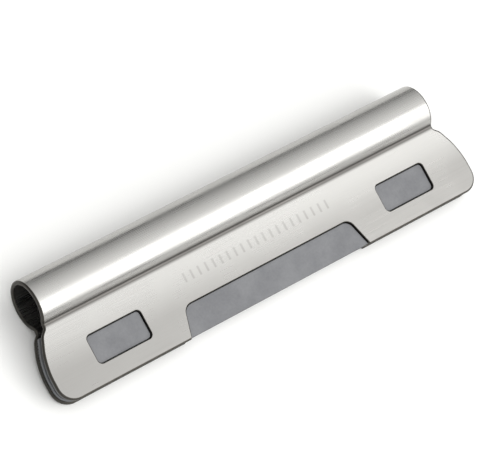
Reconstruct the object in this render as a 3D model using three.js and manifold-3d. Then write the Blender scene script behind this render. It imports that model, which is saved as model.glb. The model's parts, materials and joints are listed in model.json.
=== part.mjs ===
// Honing guide: a spring clip that slides over the spine of a blade and holds
// the blade at one steady angle while it is drawn along a sharpening stone.
//
// One strip of spring stainless steel is folded round an open tube, the bulb,
// into two flat jaws. Each jaw is lined with a moulded plastic liner, whose
// pads show through two windows and a long notch in the steel.
//
// The strip bends where its bulb turns over, so it is made as two leaves that
// meet at the apex of the bulb. Millimetres, +Z up, X along the clip. The clip
// lies as it does on a table, on its bulb and one lip, with its lips towards -Y.

import * as THREE from 'three';
import { mergeVertices } from 'three/addons/utils/BufferGeometryUtils.js';
import Module from 'manifold-3d';

// ---- Driving dimensions -----------------------------------------------------

// The folded strip
const SHEET = 0.8;
const CLIP_WIDTH = 21.2;
const JAW_LENGTH = 88;
const BULB_LENGTH = 82;
const BULB_RADIUS = 4.4;
const CREASE_RADIUS = 0.5;
const LIP_HALF_THICKNESS = 1.7;
const JAW_TAPER = THREE.MathUtils.degToRad(1.8);
const LIP_CORNER_RADIUS = 3;
const LIP_EDGE_RADIUS = 0.3;
const SHOULDER_DROP = 5.5;
const SHOULDER_STEP = 1.2;
const NECK_DROP = 0.35;
const SHOULDER_LENGTH = 84;
const APEX_GAP = 0.3;

// The windows and the notch, measured along a jaw from its crease
const WINDOW_TOP = 4.4;
const WINDOW_HEIGHT = 5;
const WINDOW_LENGTH = 10.6;
const WINDOW_CENTRE = 30.2;
const WINDOW_CORNER = 0.8;
const NOTCH_TOP = 7.4;
const NOTCH_TOP_LENGTH = 34.8;
const NOTCH_LIP_LENGTH = 38;
const NOTCH_CORNER = 1.2;

// The liners
const LINER_THICKNESS = 0.6;
const LINER_CLEARANCE = 0.15;
const LINER_TOP = 1.2;
const LINER_INSET = 0.3;
const PAD_CLEARANCE = 0.3;
const PAD_RECESS = 0.35;
const LEAD_IN_HEIGHT = 0.3;
const LEAD_IN_DEPTH = 1.1;

// How finely curves are divided
const BULB_STEPS = 28;
const CREASE_STEPS = 5;
const CORNER_STEPS = 6;

// How far a cutting shape runs past what it cuts
const OVERSHOOT = 2;

// ---- The section of the front jaw, in the Y-Z plane -------------------------
// Y is 0 at the apex of the bulb and -CLIP_WIDTH at the lip. Z is 0 on the plane
// that the two jaws close on.

const toLip = new THREE.Vector2(-Math.cos(JAW_TAPER), -Math.sin(JAW_TAPER));
const outward = new THREE.Vector2(-Math.sin(JAW_TAPER), Math.cos(JAW_TAPER));
const bulbCentre = new THREE.Vector2(-BULB_RADIUS, 0);
const lipEdge = new THREE.Vector2(-CLIP_WIDTH, LIP_HALF_THICKNESS);

// The small bend at the crease touches the bulb on one side and the jaw on the other.
const creaseCentre = (() => {
  const reach = BULB_RADIUS + CREASE_RADIUS;
  const height = lipEdge.clone().sub(bulbCentre).dot(outward) + CREASE_RADIUS;
  const along = Math.sqrt(reach * reach - height * height);
  return bulbCentre.clone().addScaledVector(outward, height).addScaledVector(toLip, along);
})();

const crease = creaseCentre.clone().addScaledVector(outward, -CREASE_RADIUS);
const jawDepth = lipEdge.clone().sub(crease).dot(toLip);
const lipRoundCentre = onJaw(jawDepth - LIP_EDGE_RADIUS, -LIP_EDGE_RADIUS);
const bulbEndAngle = creaseCentre.clone().sub(bulbCentre).angle();
const apexAngle = Math.asin(APEX_GAP / 2 / (BULB_RADIUS - SHEET));

function arc(centre, radius, from, to, steps) {
  const points = [];
  for (let i = 0; i <= steps; i += 1) {
    const angle = THREE.MathUtils.lerp(from, to, i / steps);
    points.push(new THREE.Vector2(
      centre.x + radius * Math.cos(angle),
      centre.y + radius * Math.sin(angle),
    ));
  }
  return points;
}

// A point of the section, given by its distance from the crease and its height
// over the jaw's outer face.
function onJaw(distance, height) {
  return crease.clone().addScaledVector(toLip, distance).addScaledVector(outward, height);
}

function lipRounding() {
  const start = outward.angle();
  const inner = onJaw(jawDepth - LIP_EDGE_RADIUS, LIP_EDGE_RADIUS - SHEET);
  return [
    ...arc(lipRoundCentre, LIP_EDGE_RADIUS, start, start + Math.PI / 2, CORNER_STEPS),
    ...arc(inner, LIP_EDGE_RADIUS, start + Math.PI / 2, start + Math.PI, CORNER_STEPS),
  ];
}

function leafSection() {
  const toBulb = bulbEndAngle - Math.PI;
  const toJaw = outward.angle() - Math.PI;
  return new THREE.Shape([
    ...arc(bulbCentre, BULB_RADIUS, apexAngle, bulbEndAngle, BULB_STEPS),
    ...arc(creaseCentre, CREASE_RADIUS, toBulb, toJaw, CREASE_STEPS).slice(1),
    ...lipRounding(),
    ...arc(creaseCentre, CREASE_RADIUS + SHEET, toJaw, toBulb, CREASE_STEPS),
    ...arc(bulbCentre, BULB_RADIUS - SHEET, bulbEndAngle, apexAngle, BULB_STEPS).slice(1),
  ]);
}

function linerSection() {
  const outerFace = -SHEET - LINER_CLEARANCE;
  const innerFace = outerFace - LINER_THICKNESS;
  const lip = jawDepth - LINER_INSET;
  return new THREE.Shape([
    onJaw(LINER_TOP, outerFace),
    onJaw(lip, outerFace),
    onJaw(lip, innerFace + LEAD_IN_HEIGHT),
    onJaw(lip - LEAD_IN_DEPTH, innerFace),
    onJaw(LINER_TOP, innerFace),
  ]);
}

// ---- Outlines seen square on to a jaw ---------------------------------------

// A closed outline whose corners are rounded by the distance each one carries.
function roundedOutline(corners) {
  const shape = new THREE.Shape();
  corners.forEach(([x, y, radius], i) => {
    const corner = new THREE.Vector2(x, y);
    const before = new THREE.Vector2(...corners.at(i - 1));
    const after = new THREE.Vector2(...corners[(i + 1) % corners.length]);
    const enter = before.sub(corner).setLength(radius).add(corner);
    const leave = after.sub(corner).setLength(radius).add(corner);
    if (i === 0) shape.moveTo(enter.x, enter.y);
    else shape.lineTo(enter.x, enter.y);
    if (radius > 0) shape.quadraticCurveTo(corner.x, corner.y, leave.x, leave.y);
  });
  return shape.closePath();
}

// The strip's outline: the jaws run past both ends of the bulb, beyond a sloping
// shoulder at the crease. inset draws the same outline further in.
function stripOutline(inset = 0) {
  const bulbEnd = BULB_LENGTH / 2 - inset;
  const jawEnd = JAW_LENGTH / 2 - inset;
  const stepEnd = SHOULDER_LENGTH / 2 - inset;
  const shoulderTop = crease.x - inset;
  const shoulderFoot = shoulderTop - SHOULDER_DROP;
  const lip = inset - CLIP_WIDTH;
  const right = [
    [bulbEnd, OVERSHOOT, 0],
    [bulbEnd, shoulderTop - NECK_DROP, CREASE_RADIUS],
    [stepEnd, shoulderTop - SHOULDER_STEP, CREASE_RADIUS],
    [jawEnd, shoulderFoot, 2],
    [jawEnd, lip, LIP_CORNER_RADIUS - inset],
  ];
  const left = right.map(([x, y, radius]) => [-x, y, radius]).reverse();
  return roundedOutline([...right, ...left]);
}

function windowOutline(centre, inset) {
  const half = WINDOW_LENGTH / 2 - inset;
  const top = -WINDOW_TOP - inset;
  const bottom = -WINDOW_TOP - WINDOW_HEIGHT + inset;
  const radius = WINDOW_CORNER - inset;
  return roundedOutline([
    [centre - half, top, radius],
    [centre - half, bottom, radius],
    [centre + half, bottom, radius],
    [centre + half, top, radius],
  ]);
}

// The notch is open at the lip, so its outline runs out to the given depth.
function notchOutline(inset, depth) {
  const slope = (NOTCH_LIP_LENGTH - NOTCH_TOP_LENGTH) / 2 / (jawDepth - NOTCH_TOP);
  const halfTop = NOTCH_TOP_LENGTH / 2 - inset;
  const halfMouth = halfTop + slope * (depth - NOTCH_TOP - inset);
  const top = -NOTCH_TOP - inset;
  return roundedOutline([
    [-halfTop, top, NOTCH_CORNER],
    [-halfMouth, -depth, 0],
    [halfMouth, -depth, 0],
    [halfTop, top, NOTCH_CORNER],
  ]);
}

// ---- Solids -----------------------------------------------------------------

const wasm = await Module();
wasm.setup();

function solid(geometry) {
  const bare = geometry.clone();
  bare.deleteAttribute('normal');
  bare.deleteAttribute('uv');
  const merged = mergeVertices(bare, 1e-5);
  return new wasm.Manifold(new wasm.Mesh({
    numProp: 3,
    vertProperties: merged.attributes.position.array,
    triVerts: new Uint32Array(merged.index.array),
  }));
}

function geometryOf(manifold) {
  const { vertProperties, triVerts } = manifold.getMesh();
  const geometry = new THREE.BufferGeometry();
  geometry.setAttribute('position', new THREE.BufferAttribute(vertProperties, 3));
  geometry.setIndex(new THREE.BufferAttribute(triVerts, 1));
  geometry.computeVertexNormals();
  return geometry;
}

// A section drawn in the Y-Z plane, run the whole length of the clip.
function alongClip(section) {
  const geometry = new THREE.ExtrudeGeometry(section, { depth: JAW_LENGTH, bevelEnabled: false });
  const axes = new THREE.Matrix4().makeBasis(
    new THREE.Vector3(0, 1, 0),
    new THREE.Vector3(0, 0, 1),
    new THREE.Vector3(1, 0, 0),
  );
  geometry.applyMatrix4(axes);
  return geometry.translate(-JAW_LENGTH / 2, 0, 0);
}

// An outline drawn in plan, raised through the whole front half of the clip.
function throughClip(outline) {
  const depth = BULB_RADIUS + 2 * OVERSHOOT;
  const options = { depth, bevelEnabled: false, curveSegments: CORNER_STEPS };
  return new THREE.ExtrudeGeometry(outline, options).translate(0, 0, -OVERSHOOT);
}

// An outline drawn on the jaw's outer face, raised square to it between two heights.
function throughJaw(outline, from, to) {
  const options = { depth: to - from, bevelEnabled: false, curveSegments: CORNER_STEPS };
  const geometry = new THREE.ExtrudeGeometry(outline, options).translate(0, 0, from);
  return geometry.rotateX(JAW_TAPER).translate(0, crease.x, crease.y);
}

function leafGeometry() {
  const mouth = jawDepth + OVERSHOOT;
  const cuts = [
    windowOutline(-WINDOW_CENTRE, 0),
    windowOutline(WINDOW_CENTRE, 0),
    notchOutline(0, mouth),
  ];
  let leaf = solid(alongClip(leafSection())).intersect(solid(throughClip(stripOutline())));
  for (const cut of cuts) {
    leaf = leaf.subtract(solid(throughJaw(cut, -OVERSHOOT, OVERSHOOT)));
  }
  return geometryOf(leaf);
}

function linerGeometry() {
  const padFoot = -SHEET - LINER_CLEARANCE - LINER_THICKNESS / 2;
  const mouth = jawDepth - LINER_INSET;
  const pads = [
    windowOutline(-WINDOW_CENTRE, PAD_CLEARANCE),
    windowOutline(WINDOW_CENTRE, PAD_CLEARANCE),
    notchOutline(PAD_CLEARANCE, mouth),
  ];
  const blank = solid(throughClip(stripOutline(LINER_INSET)));
  let liner = solid(alongClip(linerSection())).intersect(blank);
  for (const pad of pads) {
    liner = liner.add(solid(throughJaw(pad, padFoot, -PAD_RECESS)));
  }
  return geometryOf(liner);
}

// ---- Assembly ---------------------------------------------------------------

const springSteel = {
  color: 0xd3d4d6,
  roughness: 0.3,
  metalness: 1,
};
const greyPlastic = {
  color: 0x97989a,
  roughness: 0.6,
  metalness: 0,
};

function piece(name, geometry, finish) {
  const mesh = new THREE.Mesh(geometry, new THREE.MeshStandardMaterial(finish));
  mesh.name = name;
  return mesh;
}

// One jaw. The clip is the same on both sides, so the back jaw is the front one
// turned over about the clip's short axis.
function jaw(side) {
  const group = new THREE.Group();
  group.add(piece(`${side}_leaf`, leafGeometry(), springSteel));
  group.add(piece(`${side}_liner`, linerGeometry(), greyPlastic));
  return group;
}

// The clip lies on the lowest line of its bulb and on the rounded edge of its back lip.
function restingTilt() {
  const reach = lipRoundCentre.distanceTo(bulbCentre);
  const rise = Math.asin((BULB_RADIUS - LIP_EDGE_RADIUS) / reach);
  return rise - Math.asin(lipRoundCentre.y / reach);
}

const front = jaw('front');
const back = jaw('back');
back.rotation.y = Math.PI;

const clip = new THREE.Group();
clip.add(front, back);
clip.rotation.x = restingTilt();

// The origin is under the middle of the clip, on the surface that it lies on.
const part = new THREE.Group();
part.add(clip);
const box = new THREE.Box3().setFromObject(part, true);
clip.position.set(0, -(box.min.y + box.max.y) / 2, -box.min.z);

export default part;
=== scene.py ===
# Honing guide: a spring clip that slides over the spine of a blade and holds the
# blade at one steady angle while it is drawn along a sharpening stone.
#
# Laid out as an add-on: settings, one operator for each piece and one for the
# stage, a panel that lists them, and a main function that runs them in order.
# Lengths are in metres unless a comment says otherwise. The clip is modelled in its
# own axes (X along it, Y from the lips to the spine, Z square to the plane that the
# jaws close on) and then laid down where the frame says that it rests.

import json
import math

import bmesh
import bpy
from mathutils import Matrix, Vector


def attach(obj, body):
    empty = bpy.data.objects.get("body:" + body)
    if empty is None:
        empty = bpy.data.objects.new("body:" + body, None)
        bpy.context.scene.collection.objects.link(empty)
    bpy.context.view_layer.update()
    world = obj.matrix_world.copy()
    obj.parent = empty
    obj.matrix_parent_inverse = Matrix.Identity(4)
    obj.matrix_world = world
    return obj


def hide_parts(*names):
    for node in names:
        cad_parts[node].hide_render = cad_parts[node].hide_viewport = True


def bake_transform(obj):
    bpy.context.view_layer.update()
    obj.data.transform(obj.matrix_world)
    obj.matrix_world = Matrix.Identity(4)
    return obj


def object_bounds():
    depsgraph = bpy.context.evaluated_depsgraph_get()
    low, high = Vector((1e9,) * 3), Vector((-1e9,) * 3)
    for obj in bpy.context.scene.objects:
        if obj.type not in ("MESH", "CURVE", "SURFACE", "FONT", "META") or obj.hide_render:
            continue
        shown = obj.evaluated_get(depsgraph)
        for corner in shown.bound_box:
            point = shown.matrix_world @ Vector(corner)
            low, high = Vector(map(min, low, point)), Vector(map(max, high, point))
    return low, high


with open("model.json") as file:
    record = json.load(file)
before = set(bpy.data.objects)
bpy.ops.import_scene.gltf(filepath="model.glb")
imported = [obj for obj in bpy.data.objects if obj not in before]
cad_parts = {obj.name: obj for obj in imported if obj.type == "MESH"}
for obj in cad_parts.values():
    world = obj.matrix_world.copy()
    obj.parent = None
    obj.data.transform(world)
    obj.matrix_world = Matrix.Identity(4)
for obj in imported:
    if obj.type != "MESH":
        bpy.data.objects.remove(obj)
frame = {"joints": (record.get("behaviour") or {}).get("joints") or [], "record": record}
frame_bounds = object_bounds()

bl_info = {
    "name": "Honing Guide",
    "version": (1, 0, 0),
    "blender": (4, 5, 0),
    "location": "View3D > Sidebar > Honing Guide",
    "description": "Builds a spring clip honing guide round its packed frame",
    "category": "Add Mesh",
}

MM = 0.001
X_AXIS = Vector((1, 0, 0))
Y_AXIS = Vector((0, 1, 0))


# ---- Where the clip lies ------------------------------------------------------


def mount_axis(name):
    """The outward normal of one of the frame's mounts."""
    mounts = frame["record"]["mounts"]
    return Vector(next(mount["axis"] for mount in mounts if mount["name"] == name))


def joint_place(name):
    """A point on the axis of one of the frame's joints."""
    return Vector(next(joint["pos_m"] for joint in frame["joints"] if joint["name"] == name))


FRONT_NORMAL = mount_axis("front_jaw_face")
BACK_NORMAL = mount_axis("back_jaw_face")
APEX = joint_place("jaw_flex")
FRONT_TILT = math.atan2(-FRONT_NORMAL.y, FRONT_NORMAL.z)
BACK_TILT = math.atan2(BACK_NORMAL.y, -BACK_NORMAL.z)
REST_TILT = (FRONT_TILT + BACK_TILT) / 2
JAW_TAPER = (FRONT_TILT - BACK_TILT) / 2


# ---- Settings -----------------------------------------------------------------


def length(name, description, millimetres):
    """A length that a user can change, in metres."""
    return bpy.props.FloatProperty(
        name=name,
        description=description,
        default=millimetres * MM,
        precision=5,
        unit="LENGTH",
        subtype="DISTANCE",
    )


def hex_colour(name, description, value):
    """A colour that a user can change, as an sRGB hex value."""
    return bpy.props.StringProperty(name=name, description=description, default=value)


class StripSettings(bpy.types.PropertyGroup):
    """The folded steel strip."""

    sheet: length("Sheet", "Thickness of the steel", 0.8)
    width: length("Width", "From the apex of the bulb to the lips", 21.2)
    jaw_length: length("Jaw length", "Length of the jaws along the clip", 88)
    bulb_length: length("Bulb length", "Length of the tubular spine", 82)
    bulb_radius: length("Bulb radius", "Outer radius of the tubular spine", 4.4)
    crease_radius: length("Crease radius", "Radius of the bend between bulb and jaw", 0.5)
    lip_height: length("Lip height", "From the closing plane to the outer edge of a lip", 1.7)
    neck_length: length("Neck length", "Length of the jaws just below the crease", 84)
    neck_top: length("Neck top", "From the crease to where the jaw widens", 0.35)
    neck: length("Neck", "Depth of the step from the bulb's end to the neck", 1.2)
    shoulder: length("Shoulder", "Depth of the slope from the neck to the jaw's end", 5.5)
    corner: length("Corner radius", "Radius of the jaws' outer corners", 3)
    window_top: length("Window top", "From the crease to a window", 4.4)
    window_height: length("Window height", "Size of a window across the clip", 5)
    window_length: length("Window length", "Size of a window along the clip", 10.6)
    window_centre: length("Window centre", "From the middle of the clip to a window's middle", 30.2)
    window_corner: length("Window corner", "Radius of a window's corners", 0.8)
    notch_top: length("Notch top", "From the crease to the top of the notch", 7.4)
    notch_top_length: length("Notch top length", "Length of the notch at its top", 34.8)
    notch_lip_length: length("Notch lip length", "Length of the notch at the lip", 38)
    notch_corner: length("Notch corner", "Radius of the notch's corners", 1.2)
    edge: length("Edge rounding", "Radius of the tumbled outer edges", 0.3)
    cut_edge: length("Cut edge rounding", "Radius of the edges of the openings", 0.12)
    steel: hex_colour("Steel", "Colour of the brushed steel", "AFAEAB")
    # Painted shade: the edges are coloured dark to stand in for the shade that falls on them.
    shaded_edge_steel: hex_colour("Edge steel", "Colour of the blanked edges", "45433F")
    # Painted shade: the dark colour laid along the crease.
    crease_shade_colour: hex_colour("Heat tint", "Colour of the steel in the crease", "4A4744")


class LinerSettings(bpy.types.PropertyGroup):
    """The moulded liners."""

    thickness: length("Thickness", "Thickness of a liner", 0.65)
    seat: length("Seat gap", "Air between a liner and its jaw", 0.1)
    top: length("Top", "From the crease to a liner's upper edge", 1.2)
    inset: length("Inset", "From a jaw's edge to its liner's edge", 0.3)
    pad_gap: length("Pad gap", "Air round a pad in its window", 0.1)
    pad_recess: length("Pad recess", "From the jaw's outer face down to a pad", 0.4)
    lead_in: length("Lead-in", "Height of the slope inside the lip", 0.3)
    lead_in_depth: length("Lead-in depth", "Depth of the slope inside the lip", 1.1)
    edge: length("Edge rounding", "Radius of the moulded edges", 0.1)
    plastic: hex_colour("Plastic", "Colour of the liners", "78797B")
    plastic_dark: hex_colour("Plastic shade", "Colour of the liners' darker mottling", "67686B")


class StageSettings(bpy.types.PropertyGroup):
    """The floor, the lights and the camera."""

    azimuth: bpy.props.FloatProperty(
        name="Azimuth",
        description="Side that the camera looks from, from -Y towards +X",
        default=math.radians(-68),
        subtype="ANGLE",
    )
    elevation: bpy.props.FloatProperty(
        name="Elevation",
        description="Height of the camera over the floor",
        default=math.radians(57.7),
        subtype="ANGLE",
    )
    roll: bpy.props.FloatProperty(
        name="Roll",
        description="Turn of the camera about its line of sight",
        default=math.radians(37.1),
        subtype="ANGLE",
    )
    distance: length("Distance", "From the camera to the clip", 443)
    lens: bpy.props.FloatProperty(name="Lens", description="Focal length in mm", default=195)
    floor: hex_colour("Floor", "Colour of the floor", "F6F6F4")


# ---- Modelling helpers --------------------------------------------------------


def begin(name):
    """Names the primitive that was just added and opens it in edit mode."""
    piece = bpy.context.object
    piece.name = name
    piece.data.name = name
    bpy.ops.object.mode_set(mode="EDIT")
    return piece


def add_plane(name, low, high):
    """A flat rectangle at z = 0, open in edit mode."""
    bpy.ops.object.select_all(action="DESELECT")
    middle = ((low[0] + high[0]) / 2, (low[1] + high[1]) / 2, 0)
    bpy.ops.mesh.primitive_plane_add(size=1, location=middle)
    size = (high[0] - low[0], high[1] - low[1], 1)
    return sized(name, size)


def add_block(name, low, high):
    """A block between two corners, open in edit mode."""
    bpy.ops.object.select_all(action="DESELECT")
    middle = [(a + b) / 2 for a, b in zip(low, high)]
    bpy.ops.mesh.primitive_cube_add(size=1, location=middle)
    return sized(name, [b - a for a, b in zip(low, high)])


def sized(name, size):
    """Gives the new primitive its size and applies its place to its mesh."""
    bpy.ops.transform.resize(value=size)
    bpy.ops.object.transform_apply(location=True, rotation=True, scale=True)
    return begin(name)


def select(kind, test):
    """Selects the vertices, edges or faces whose middle passes a test."""
    bpy.ops.mesh.select_mode(type=kind)
    bpy.ops.mesh.select_all(action="DESELECT")
    mesh = bmesh.from_edit_mesh(bpy.context.object.data)
    if kind == "VERT":
        chosen = [v for v in mesh.verts if test(v.co)]
    elif kind == "EDGE":
        chosen = [e for e in mesh.edges if test((e.verts[0].co + e.verts[1].co) / 2)]
    else:
        chosen = [f for f in mesh.faces if test(f.calc_center_median())]
    if not chosen:
        raise RuntimeError(f"nothing to select on {bpy.context.object.name}")
    for item in chosen:
        item.select_set(True)
    mesh.select_flush_mode()
    bmesh.update_edit_mesh(bpy.context.object.data)


def near(value, target, slack=0.01 * MM):
    """Whether two lengths are the same, within a hundredth of a millimetre."""
    return abs(value - target) < slack


def select_row(y):
    """Selects the vertices that lie on one line across the clip."""
    select("VERT", lambda co: near(co.y, y))


def spin(steps, angle, centre):
    """Sweeps what is selected round a line along X, by the right-hand rule."""
    # The operator itself turns the other way.
    bpy.ops.mesh.spin(steps=steps, angle=-angle, center=centre, axis=X_AXIS)


def bisect(place, normal):
    """Cuts the whole edit mesh along a plane."""
    bpy.ops.mesh.select_all(action="SELECT")
    bpy.ops.mesh.bisect(plane_co=place, plane_no=normal)


def finish_edit():
    """Closes edit mode."""
    bpy.ops.object.mode_set(mode="OBJECT")


def activate(piece):
    """Makes a piece the only one selected."""
    bpy.ops.object.select_all(action="DESELECT")
    piece.select_set(True)
    bpy.context.view_layer.objects.active = piece


def modify(piece, kind, **settings):
    """Adds a modifier and applies it."""
    activate(piece)
    modifier = piece.modifiers.new(kind.title(), kind)
    for setting, value in settings.items():
        setattr(modifier, setting, value)
    bpy.ops.object.modifier_apply(modifier=modifier.name)


def combine(piece, tool, operation):
    """Joins a tool to a piece or cuts it out, and removes the tool. The faces that the
    tool leaves take the piece's last material."""
    tool.data.materials.append(piece.data.materials[-1])
    settings = {"operation": operation, "solver": "EXACT", "material_mode": "TRANSFER"}
    modify(piece, "BOOLEAN", object=tool, **settings)
    bpy.data.objects.remove(tool)


def turn(piece, angle, axis):
    """Turns a piece's mesh about an axis through the origin."""
    piece.data.transform(Matrix.Rotation(angle, 4, axis))
    piece.data.update()


def lay_down(piece):
    """Lays a piece that was modelled in the clip's own axes where the clip rests."""
    sheet = bpy.context.scene.honing_strip.sheet
    turn(piece, REST_TILT, X_AXIS)
    # The joint's axis runs through the middle of the steel at the apex of the bulb.
    hinge = Matrix.Rotation(REST_TILT, 4, X_AXIS) @ Vector((0, -sheet / 2, 0))
    piece.data.transform(Matrix.Translation(APEX - hinge))
    piece.data.update()


# ---- The strip's section --------------------------------------------------------


class Section:
    """Where the bends of the front jaw fall, in the clip's own Y and Z."""

    def __init__(self, strip):
        self.to_lip = Vector((-math.cos(JAW_TAPER), -math.sin(JAW_TAPER)))
        self.outward = Vector((-math.sin(JAW_TAPER), math.cos(JAW_TAPER)))
        self.bulb = Vector((-strip.bulb_radius, 0))
        lip = Vector((-strip.width, strip.lip_height))
        reach = strip.bulb_radius + strip.crease_radius
        height = (lip - self.bulb).dot(self.outward) + strip.crease_radius
        along = math.sqrt(reach**2 - height**2)
        self.bend = self.bulb + self.outward * height + self.to_lip * along
        self.crease = self.bend - self.outward * strip.crease_radius
        self.jaw_depth = (lip - self.crease).dot(self.to_lip)
        to_bend = self.bend - self.bulb
        self.bulb_angle = math.atan2(to_bend.y, to_bend.x)
        # The bend turns from square to the jaw round to the line of centres.
        self.bend_angle = self.bulb_angle - math.pi / 2 - JAW_TAPER

    def on_bulb(self, y, z):
        """How far round the bulb a point is, from 0 at the apex."""
        return math.atan2(abs(z) - self.bulb.y, y - self.bulb.x)


def onto_jaw(piece, section):
    """Moves a piece from the jaw's own flat axes to the front of the clip."""
    turn(piece, JAW_TAPER, X_AXIS)
    piece.data.transform(Matrix.Translation((0, section.crease.x, section.crease.y)))
    piece.data.update()


# ---- Materials ------------------------------------------------------------------


def linear(hex_value):
    """An sRGB hex colour as linear RGBA."""
    channels = [int(hex_value[i : i + 2], 16) / 255 for i in (0, 2, 4)]
    curve = [c / 12.92 if c <= 0.04045 else ((c + 0.055) / 1.055) ** 2.4 for c in channels]
    return (*curve, 1)


def add_node(tree, kind, inputs=None, **settings):
    """Adds a node, sets it, and links or fills its inputs."""
    node = tree.nodes.new(kind)
    for setting, value in settings.items():
        setattr(node, setting, value)
    for socket, value in (inputs or {}).items():
        if isinstance(value, bpy.types.NodeSocket):
            tree.links.new(value, node.inputs[socket])
        else:
            node.inputs[socket].default_value = value
    return node


def new_material(name):
    """An empty material and its principled shader, joined to the output."""
    material = bpy.data.materials.new(name)
    material.use_nodes = True
    tree = material.node_tree
    tree.nodes.clear()
    shader = add_node(tree, "ShaderNodeBsdfPrincipled")
    add_node(tree, "ShaderNodeOutputMaterial", {"Surface": shader.outputs["BSDF"]})
    return material, tree, shader


FLAT_PATTERN = "flat_pattern"
PATTERN_SPAN = 100 * MM

# The finish and the painted shade of the steel, in millimetres on the flat blank. Real brush marks
# are about 0.03 mm wide, too fine to show, so they are drawn at 0.16 mm.
BRUSH_MARK_LENGTH = 16
BRUSH_MARK_WIDTH = 0.16
HANDLED_PATCH = 9
# Painted shade along the crease: its offset from the crease and the widths of its full and fading
# parts.
CREASE_SHADE_DROP = 0.2
CREASE_SHADE_FULL = 0.15
CREASE_SHADE_REACH = 0.8
# Painted shade that darkens the jaws towards their lips: where it starts and where it is full.
LIP_SHADE_START = 1
LIP_SHADE_END = 9
TICK_PITCH = 1.5
TICK_WIDTH = 0.4
TICK_HEIGHT = 1.6
TICK_DROP = 3.8
TICK_REACH = 15.2

# How strongly each of them darkens the steel, from 0 to 1.
# The first two are painted shade; the ticks are etched.
CREASE_SHADE_STRENGTH = 0.85
LIP_SHADE_STRENGTH = 0.42
TICK_SHADE = 0.2

# The finish of the edges and the liners, in metres. Real mould grain is about
# 0.1 mm, too fine to show, so it is drawn at 0.45 mm.
EDGE_PIT = 0.6 * MM
MOULD_GRAIN = 0.45 * MM
MOULD_GRAIN_DEPTH = 0.06 * MM
MELT_PATCH = 4 * MM


def maths(tree, operation, first, second=0.0):
    """One step of arithmetic on values."""
    node = add_node(tree, "ShaderNodeMath", {0: first, 1: second}, operation=operation)
    return node.outputs["Value"]


def fade(tree, value, start, end, at_start=0.0, at_end=1.0):
    """A value carried smoothly from one range to another."""
    inputs = {"Value": value, "From Min": start, "From Max": end}
    inputs.update({"To Min": at_start, "To Max": at_end})
    node = add_node(tree, "ShaderNodeMapRange", inputs, interpolation_type="SMOOTHSTEP")
    return node.outputs["Result"]


def tick_row(tree, along, across, crease):
    """An etched scale of plain ticks on the front jaw, 1 where it is etched. The ticks
    fade out at their edges."""
    step = maths(tree, "PINGPONG", along, TICK_PITCH / 2)
    tick = fade(tree, step, TICK_WIDTH * 0.3, TICK_WIDTH * 0.7, 1, 0)
    height = maths(tree, "ABSOLUTE", maths(tree, "SUBTRACT", across, crease + TICK_DROP))
    row = fade(tree, height, TICK_HEIGHT * 0.45, TICK_HEIGHT * 0.55, 1, 0)
    reach = maths(tree, "LESS_THAN", maths(tree, "ABSOLUTE", along), TICK_REACH)
    return maths(tree, "MULTIPLY", maths(tree, "MULTIPLY", tick, row), reach)


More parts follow.
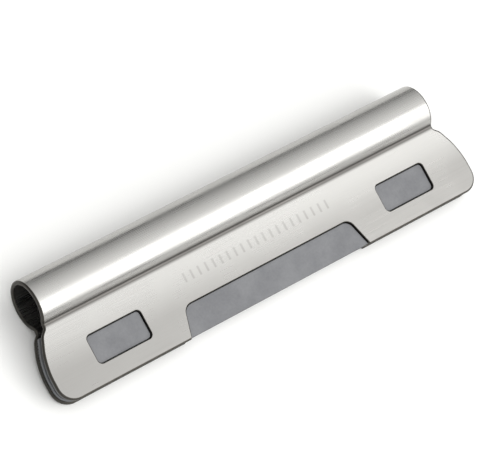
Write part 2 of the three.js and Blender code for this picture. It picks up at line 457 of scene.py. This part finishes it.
def brushed_steel(strip, section):
    """Spring stainless, brushed along the clip with a fine belt. A dark line of painted shade runs
    along the crease, and the jaws are painted darker towards their lips as painted shade; they are
    also rougher there, where the lips ride on the stone."""
    material, tree, shader = new_material("brushed_spring_stainless")
    flat = add_node(tree, "ShaderNodeUVMap", uv_map=FLAT_PATTERN).outputs["UV"]
    span = PATTERN_SPAN / MM
    millimetres = add_node(
        tree, "ShaderNodeVectorMath", {0: flat, "Scale": span}, operation="SCALE"
    ).outputs["Vector"]
    place = add_node(tree, "ShaderNodeSeparateXYZ", {"Vector": millimetres}).outputs
    crease = strip.bulb_radius * section.bulb_angle / MM
    across = maths(tree, "ABSOLUTE", place["Y"])
    off_crease = maths(tree, "ABSOLUTE", maths(tree, "SUBTRACT", across, crease + CREASE_SHADE_DROP))
    # Painted shade: a dark line along the crease.
    painted_crease_shade = fade(tree, off_crease, CREASE_SHADE_FULL, CREASE_SHADE_REACH, CREASE_SHADE_STRENGTH, 0)
    # Painted shade: the jaws grow darker towards their lips.
    painted_lip_shade = fade(tree, across, crease + LIP_SHADE_START, crease + LIP_SHADE_END, 0, LIP_SHADE_STRENGTH)
    ticks = tick_row(tree, place["X"], place["Y"], crease)
    # The painted shade and the etched ticks together.
    painted_shade_and_ticks = maths(tree, "MAXIMUM", painted_crease_shade, painted_lip_shade)
    painted_shade_and_ticks = maths(tree, "ADD", painted_shade_and_ticks, maths(tree, "MULTIPLY", ticks, TICK_SHADE))
    brush_scale = (span / BRUSH_MARK_LENGTH, span / BRUSH_MARK_WIDTH, 1)
    fine = add_node(
        tree, "ShaderNodeMapping", {"Vector": flat, "Scale": brush_scale}
    ).outputs["Vector"]
    hairlines = add_node(
        tree,
        "ShaderNodeTexNoise",
        {"Vector": fine, "Scale": 1.0, "Detail": 3.0, "Roughness": 0.6},
        noise_dimensions="2D",
    ).outputs["Fac"]
    handled = add_node(
        tree,
        "ShaderNodeTexNoise",
        {"Vector": millimetres, "Scale": 1 / HANDLED_PATCH, "Detail": 2.0},
        noise_dimensions="2D",
    ).outputs["Fac"]
    roughness = maths(
        tree,
        "ADD",
        fade(tree, hairlines, 0.3, 0.7, 0.22, 0.32),
        fade(tree, handled, 0.4, 0.65, 0, 0.06),
    )
    roughness = maths(tree, "ADD", roughness, maths(tree, "MULTIPLY", painted_shade_and_ticks, 0.12))
    tree.links.new(roughness, shader.inputs["Roughness"])
    # The steel is mixed towards the dark colour by the painted shade and by the etched ticks.
    colour = add_node(
        tree, "ShaderNodeMix", {"Factor": painted_shade_and_ticks}, data_type="RGBA", blend_type="MIX"
    )
    colour.inputs["A"].default_value = linear(strip.steel)
    colour.inputs["B"].default_value = linear(strip.crease_shade_colour)
    tree.links.new(colour.outputs["Result"], shader.inputs["Base Color"])
    bump = add_node(
        tree, "ShaderNodeBump", {"Height": hairlines, "Strength": 0.25, "Distance": 0.01 * MM}
    ).outputs["Normal"]
    tree.links.new(bump, shader.inputs["Normal"])
    shader.inputs["Metallic"].default_value = 1
    return material


def blanked_edge(strip):
    """The same steel where the press sheared it and the tumbler rounded it, duller than the brushed
    faces, and painted dark as shade so that it outlines them."""
    material, tree, shader = new_material("shaded_blanked_steel_edge")
    place = add_node(tree, "ShaderNodeTexCoord").outputs["Object"]
    pitted = add_node(
        tree, "ShaderNodeTexNoise", {"Vector": place, "Scale": 1 / EDGE_PIT, "Detail": 2.0}
    ).outputs["Fac"]
    tree.links.new(fade(tree, pitted, 0.35, 0.65, 0.3, 0.45), shader.inputs["Roughness"])
    # Painted shade: the dark colour on the rims, the rounded edges and the walls of the openings.
    shader.inputs["Base Color"].default_value = linear(strip.shaded_edge_steel)
    shader.inputs["Metallic"].default_value = 1
    return material


def moulded_plastic(liner):
    """Grey polyamide with the matt grain of a spark-eroded mould, a little mottled
    where the melt has flowed."""
    material, tree, shader = new_material("moulded_grey_polyamide")
    place = add_node(tree, "ShaderNodeTexCoord").outputs["Object"]
    grain = add_node(
        tree,
        "ShaderNodeTexNoise",
        {"Vector": place, "Scale": 1 / MOULD_GRAIN, "Detail": 3.0, "Roughness": 0.6},
    ).outputs["Fac"]
    bump = add_node(
        tree, "ShaderNodeBump", {"Height": grain, "Strength": 0.6, "Distance": MOULD_GRAIN_DEPTH}
    ).outputs["Normal"]
    tree.links.new(bump, shader.inputs["Normal"])
    mottle = add_node(
        tree, "ShaderNodeTexNoise", {"Vector": place, "Scale": 1 / MELT_PATCH, "Detail": 3.0}
    ).outputs["Fac"]
    light = maths(tree, "MULTIPLY", fade(tree, mottle, 0.35, 0.65), 0.6)
    light = maths(tree, "ADD", light, maths(tree, "MULTIPLY", fade(tree, grain, 0.3, 0.7), 0.4))
    colour = add_node(tree, "ShaderNodeMix", {"Factor": light}, data_type="RGBA")
    colour.inputs["A"].default_value = linear(liner.plastic_dark)
    colour.inputs["B"].default_value = linear(liner.plastic)
    tree.links.new(colour.outputs["Result"], shader.inputs["Base Color"])
    tree.links.new(fade(tree, grain, 0.3, 0.7, 0.42, 0.58), shader.inputs["Roughness"])
    return material


def matt_floor(stage):
    """A plain pale sheet of matt card."""
    material, _, shader = new_material("matt_card")
    shader.inputs["Base Color"].default_value = linear(stage.floor)
    shader.inputs["Roughness"].default_value = 0.9
    shader.inputs["Specular IOR Level"].default_value = 0.2
    return material


# ---- The strip --------------------------------------------------------------------

BULB_STEPS = 56
BEND_STEPS = 10
CORNER_STEPS = 10
EDGE_STEPS = 3
SHARP_ANGLE = math.radians(35)
SMOOTH_ANGLE = math.radians(32)
MIRROR_MERGE = 0.02 * MM
DOUBLES_MERGE = 0.005 * MM


def flat_jaw(strip, section):
    """The front jaw's outer face, flat, with its crease on y = 0."""
    half = strip.jaw_length / 2
    depth = section.jaw_depth
    piece = add_plane("spring_strip", (-half, -depth), (half, 0))
    # Each row's drop from the crease, its length and the radius of its corners.
    rows = (
        (0, strip.bulb_length, 0),
        (strip.neck_top, strip.bulb_length, strip.crease_radius * 0.6),
        (strip.neck, strip.neck_length, strip.crease_radius),
        (strip.shoulder, strip.jaw_length, strip.corner - strip.edge),
        (depth, strip.jaw_length, strip.corner),
    )
    for drop, _, _ in rows[1:4]:
        bisect((0, -drop, 0), (0, 1, 0))
    for drop, row_length, _ in rows:
        select_row(-drop)
        bpy.ops.transform.resize(value=(row_length / strip.jaw_length, 1, 1))
    # The face needs its outline only, so the edges that cross it go.
    select("EDGE", lambda co: near(co.x, 0) and -depth < co.y < 0)
    bpy.ops.mesh.dissolve_edges(use_verts=False)
    for drop, _, radius in rows[1:]:
        select_row(-drop)
        bpy.ops.mesh.bevel(offset=radius, segments=CORNER_STEPS, affect="VERTICES")
    return piece


def roll_up(strip, section):
    """Bends the sheet up from the crease and rolls it round to the apex."""
    select("EDGE", lambda co: near(co.y, 0))
    spin(BEND_STEPS, section.bend_angle, (0, 0, strip.crease_radius))
    to_bulb = section.bulb - section.crease
    centre = (0, -to_bulb.dot(section.to_lip), to_bulb.dot(section.outward))
    spin(BULB_STEPS, -section.bulb_angle, centre)
    finish_edit()


def close_section(strip, piece):
    """Mirrors the front half to the back and gives the sheet its thickness."""
    modify(piece, "MIRROR", use_axis=(False, False, True), merge_threshold=MIRROR_MERGE)
    activate(piece)
    bpy.ops.object.mode_set(mode="EDIT")
    bpy.ops.mesh.select_all(action="SELECT")
    bpy.ops.mesh.remove_doubles(threshold=DOUBLES_MERGE)
    bpy.ops.mesh.normals_make_consistent(inside=False)
    finish_edit()
    face_outwards(piece)
    modify(
        piece,
        "SOLIDIFY",
        thickness=strip.sheet,
        offset=-1,
        use_even_offset=True,
        material_offset_rim=1,
    )


def face_outwards(piece):
    """Turns an open shell's faces over if its front jaw faces inwards."""
    jaw = max(piece.data.polygons, key=lambda face: face.area * (face.center.z > 0))
    if jaw.normal.z < 0:
        activate(piece)
        bpy.ops.object.mode_set(mode="EDIT")
        bpy.ops.mesh.select_all(action="SELECT")
        bpy.ops.mesh.flip_normals()
        finish_edit()


def window_cutter(strip, section, side, low, high, inset=0):
    """A block with rounded corners, square to the jaws, that fills a window."""
    half = strip.window_length / 2 - inset
    centre = side * strip.window_centre
    top = section.crease.x - strip.window_top - inset
    bottom = section.crease.x - strip.window_top - strip.window_height + inset
    cutter = add_block("window", (centre - half, bottom, low), (centre + half, top, high))
    select("EDGE", lambda co: near(co.z, (low + high) / 2))
    bpy.ops.mesh.bevel(offset=strip.window_corner - inset, segments=CORNER_STEPS)
    finish_edit()
    return cutter


def notch_cutter(strip, section, low, high, inset=0, mouth=None):
    """A block with sloping ends that fills the notch. It runs down to its mouth, which
    is past the lip if it isn't given."""
    slope = (strip.notch_lip_length - strip.notch_top_length) / 2
    slope /= section.jaw_depth - strip.notch_top
    mouth = mouth or section.jaw_depth + strip.sheet
    half_top = strip.notch_top_length / 2 - inset
    half_mouth = half_top + slope * (mouth - strip.notch_top - inset)
    top = section.crease.x - strip.notch_top - inset
    bottom = section.crease.x - mouth
    cutter = add_block("notch", (-half_top, bottom, low), (half_top, top, high))
    select_row(bottom)
    bpy.ops.transform.resize(value=(half_mouth / half_top, 1, 1))
    select("EDGE", lambda co: near(co.z, (low + high) / 2) and near(co.y, top))
    bpy.ops.mesh.bevel(offset=strip.notch_corner, segments=CORNER_STEPS)
    finish_edit()
    return cutter


def cut_openings(strip, section, piece):
    """Punches the windows and the notch through both jaws."""
    reach = strip.bulb_radius
    for side in (-1, 1):
        combine(piece, window_cutter(strip, section, side, -reach, reach), "DIFFERENCE")
    combine(piece, notch_cutter(strip, section, -reach, reach), "DIFFERENCE")


def round_edges(piece, width, material=0):
    """Rounds every sharp edge of a piece, in the material of the given slot."""
    modify(
        piece,
        "BEVEL",
        width=width,
        segments=EDGE_STEPS,
        limit_method="ANGLE",
        angle_limit=SHARP_ANGLE,
        use_clamp_overlap=False,
        material=material,
    )


def smooth(piece):
    """Shades a piece smooth, with its flats kept flat."""
    activate(piece)
    bpy.ops.object.shade_smooth_by_angle(angle=SMOOTH_ANGLE)
    modify(piece, "WEIGHTED_NORMAL", keep_sharp=True)


def map_flat_pattern(strip, section, piece):
    """Gives the strip a UV map that lies as its blank did before it was folded."""
    bulb_end = strip.bulb_radius * section.bulb_angle
    foot = section.bulb.x + strip.bulb_radius * math.cos(section.bulb_angle)
    layer = piece.data.uv_layers.new(name=FLAT_PATTERN)
    for loop in piece.data.loops:
        x, y, z = piece.data.vertices[loop.vertex_index].co
        across = bulb_end + foot - y if y < foot else strip.bulb_radius * section.on_bulb(y, z)
        layer.data[loop.index].uv = (x / PATTERN_SPAN, math.copysign(across, z) / PATTERN_SPAN)


class HONING_OT_strip(bpy.types.Operator):
    """Folds the steel strip and cuts its windows and notches"""

    bl_idname = "honing.strip"
    bl_label = "Spring strip"

    def execute(self, context):
        strip = context.scene.honing_strip
        section = Section(strip)
        piece = flat_jaw(strip, section)
        roll_up(strip, section)
        onto_jaw(piece, section)
        piece.data.materials.append(brushed_steel(strip, section))
        piece.data.materials.append(blanked_edge(strip))
        close_section(strip, piece)
        round_edges(piece, strip.edge, material=1)
        cut_openings(strip, section, piece)
        round_edges(piece, strip.cut_edge, material=1)
        smooth(piece)
        map_flat_pattern(strip, section, piece)
        lay_down(piece)
        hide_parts("front_leaf", "back_leaf")
        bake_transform(piece)
        return {"FINISHED"}


# ---- The liners -------------------------------------------------------------------


def liner_slab(strip, liner, section):
    """The flat of the front liner, in the jaw's own axes."""
    half = strip.jaw_length / 2 - liner.inset
    lip = liner.inset - section.jaw_depth
    high = -strip.sheet - liner.seat
    low = high - liner.thickness
    slope = (strip.jaw_length - strip.neck_length) / 2 / (strip.shoulder - strip.neck)
    top_half = half - slope * (strip.shoulder + liner.inset - liner.top)
    piece = add_block("front_grip_liner", (-half, lip, low), (half, -liner.top, high))
    shoulder = -strip.shoulder - liner.inset
    bisect((0, shoulder, 0), (0, 1, 0))
    select_row(-liner.top)
    bpy.ops.transform.resize(value=(top_half / half, 1, 1))
    for corner in (lip, shoulder):
        select("EDGE", lambda co: near(co.y, corner) and near(co.z, (low + high) / 2))
        bpy.ops.mesh.bevel(offset=strip.corner - liner.inset, segments=CORNER_STEPS)
    bisect((0, lip + liner.lead_in_depth, 0), (0, 1, 0))
    select("VERT", lambda co: near(co.y, lip) and near(co.z, low))
    bpy.ops.transform.translate(value=(0, 0, liner.lead_in))
    finish_edit()
    return piece


def add_pads(strip, liner, section, piece):
    """Raises the pads that stand in the windows and the notch."""
    low = -strip.sheet - liner.seat - liner.thickness / 2
    high = -liner.pad_recess
    gap = liner.pad_gap
    mouth = section.jaw_depth - liner.inset
    pads = [window_cutter(strip, section, side, low, high, gap) for side in (-1, 1)]
    pads.append(notch_cutter(strip, section, low, high, gap, mouth))
    for pad in pads:
        pad.data.transform(Matrix.Translation((0, -section.crease.x, 0)))
        combine(piece, pad, "UNION")


def back_copy(piece, name):
    """The same piece turned over for the back jaw."""
    copy = piece.copy()
    copy.data = piece.data.copy()
    copy.name = name
    copy.data.name = name
    bpy.context.scene.collection.objects.link(copy)
    turn(copy, math.pi, Y_AXIS)
    return copy


class HONING_OT_liners(bpy.types.Operator):
    """Moulds the two liners and seats them in their jaws"""

    bl_idname = "honing.liners"
    bl_label = "Grip liners"

    def execute(self, context):
        strip = context.scene.honing_strip
        liner = context.scene.honing_liner
        section = Section(strip)
        front = liner_slab(strip, liner, section)
        front.data.materials.append(moulded_plastic(liner))
        add_pads(strip, liner, section, front)
        round_edges(front, liner.edge)
        smooth(front)
        onto_jaw(front, section)
        back = back_copy(front, "back_grip_liner")
        for piece, side in ((front, "front"), (back, "back")):
            lay_down(piece)
            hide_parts(f"{side}_liner")
            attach(piece, f"{side}_jaw")
        return {"FINISHED"}


# ---- The stage --------------------------------------------------------------------

FLOOR_REACH = 3
LAMP_DISTANCE = 0.6
# Each lamp's name, azimuth and elevation in degrees, size in metres and power in watts.
SOFTBOXES = (
    ("key", 48, 46, (0.34, 0.26), 0.68),
    ("low", 29, 25, (0.22, 0.14), 0.2),
)
# The tent's strengths are multiples of plain white, and the top of its skirt is a
# height on the unit sphere.
BRIGHT_SIDE = Vector((0.45, -0.7, 0.5)).normalized()
WALL_STRENGTH = 0.2
BRIGHT_STRENGTH = 1.8
SKIRT_STRENGTH = 0.2
SKIRT_TOP = 0.3


def aim(item, place, target, roll=0):
    """Puts a lamp or camera at a place, looking at a target."""
    look = (Vector(target) - Vector(place)).to_track_quat("-Z", "Y").to_matrix().to_4x4()
    item.matrix_world = Matrix.Translation(place) @ look @ Matrix.Rotation(roll, 4, "Z")


def around(azimuth, elevation, distance, centre):
    """A place seen from a centre, azimuth from -Y towards +X."""
    flat = math.cos(elevation)
    way = (math.sin(azimuth) * flat, -math.cos(azimuth) * flat, math.sin(elevation))
    return Vector(centre) + distance * Vector(way)


def add_softbox(name, place, size, power, target):
    """A rectangular lamp with a diffuser, facing its target."""
    lamp = bpy.data.lights.new(name, "AREA")
    lamp.shape = "RECTANGLE"
    lamp.size, lamp.size_y = size
    lamp.energy = power
    item = bpy.data.objects.new(name, lamp)
    bpy.context.scene.collection.objects.link(item)
    aim(item, place, target)


def studio_world():
    """A pale tent, brightest overhead and in front, with a dim wall behind and a dim
    skirt round the horizon, which keeps glancing reflections from burning out."""
    world = bpy.data.worlds.new("studio")
    world.use_nodes = True
    tree = world.node_tree
    way = add_node(tree, "ShaderNodeTexCoord").outputs["Generated"]
    towards = add_node(
        tree, "ShaderNodeVectorMath", {0: way, 1: BRIGHT_SIDE}, operation="DOT_PRODUCT"
    ).outputs["Value"]
    spread = {"Value": towards, "From Min": -0.6, "From Max": 1}
    spread.update({"To Min": WALL_STRENGTH, "To Max": BRIGHT_STRENGTH})
    strength = add_node(tree, "ShaderNodeMapRange", spread).outputs["Result"]
    height = add_node(tree, "ShaderNodeSeparateXYZ", {"Vector": way}).outputs["Z"]
    skirt = fade(tree, height, 0, SKIRT_TOP, SKIRT_STRENGTH, 1)
    strength = maths(tree, "MULTIPLY", strength, skirt)
    tree.links.new(strength, tree.nodes["Background"].inputs["Strength"])
    tree.nodes["Background"].inputs["Color"].default_value = linear("FFFFFF")
    return world


class HONING_OT_stage(bpy.types.Operator):
    """Lays the floor and sets the lights and the camera"""

    bl_idname = "honing.stage"
    bl_label = "Stage"

    def execute(self, context):
        stage = context.scene.honing_stage
        scene = context.scene
        low, high = (Vector(corner) for corner in frame_bounds)
        centre = (low + high) / 2
        floor = add_plane("floor", (-FLOOR_REACH, -FLOOR_REACH), (FLOOR_REACH, FLOOR_REACH))
        finish_edit()
        floor.data.materials.append(matt_floor(stage))

        scene.world = studio_world()
        for name, azimuth, elevation, size, power in SOFTBOXES:
            place = around(math.radians(azimuth), math.radians(elevation), LAMP_DISTANCE, centre)
            add_softbox(name, place, size, power, centre)

        scene.view_settings.view_transform = "Standard"
        camera = bpy.data.cameras.new("camera")
        camera.lens = stage.lens
        camera.clip_start = 10 * MM
        item = bpy.data.objects.new("camera", camera)
        scene.collection.objects.link(item)
        place = around(stage.azimuth, stage.elevation, stage.distance, centre)
        aim(item, place, centre, stage.roll)
        scene.camera = item
        return {"FINISHED"}


# ---- The add-on -------------------------------------------------------------------


class HONING_PT_panel(bpy.types.Panel):
    """Lists the pieces of the honing guide"""

    bl_idname = "HONING_PT_panel"
    bl_label = "Honing Guide"
    bl_space_type = "VIEW_3D"
    bl_region_type = "UI"
    bl_category = "Honing Guide"

    def draw(self, context):
        groups = (
            (context.scene.honing_strip, HONING_OT_strip),
            (context.scene.honing_liner, HONING_OT_liners),
            (context.scene.honing_stage, HONING_OT_stage),
        )
        for settings, operator in groups:
            box = self.layout.box()
            for name in settings.__annotations__:
                box.prop(settings, name)
            box.operator(operator.bl_idname)


CLASSES = (
    StripSettings,
    LinerSettings,
    StageSettings,
    HONING_OT_strip,
    HONING_OT_liners,
    HONING_OT_stage,
    HONING_PT_panel,
)


def register():
    for item in CLASSES:
        bpy.utils.register_class(item)
    bpy.types.Scene.honing_strip = bpy.props.PointerProperty(type=StripSettings)
    bpy.types.Scene.honing_liner = bpy.props.PointerProperty(type=LinerSettings)
    bpy.types.Scene.honing_stage = bpy.props.PointerProperty(type=StageSettings)


def unregister():
    del bpy.types.Scene.honing_stage
    del bpy.types.Scene.honing_liner
    del bpy.types.Scene.honing_strip
    for item in reversed(CLASSES):
        bpy.utils.unregister_class(item)


def main():
    register()
    bpy.ops.honing.strip()
    bpy.ops.honing.liners()
    bpy.ops.honing.stage()


if __name__ == "__main__":
    main()
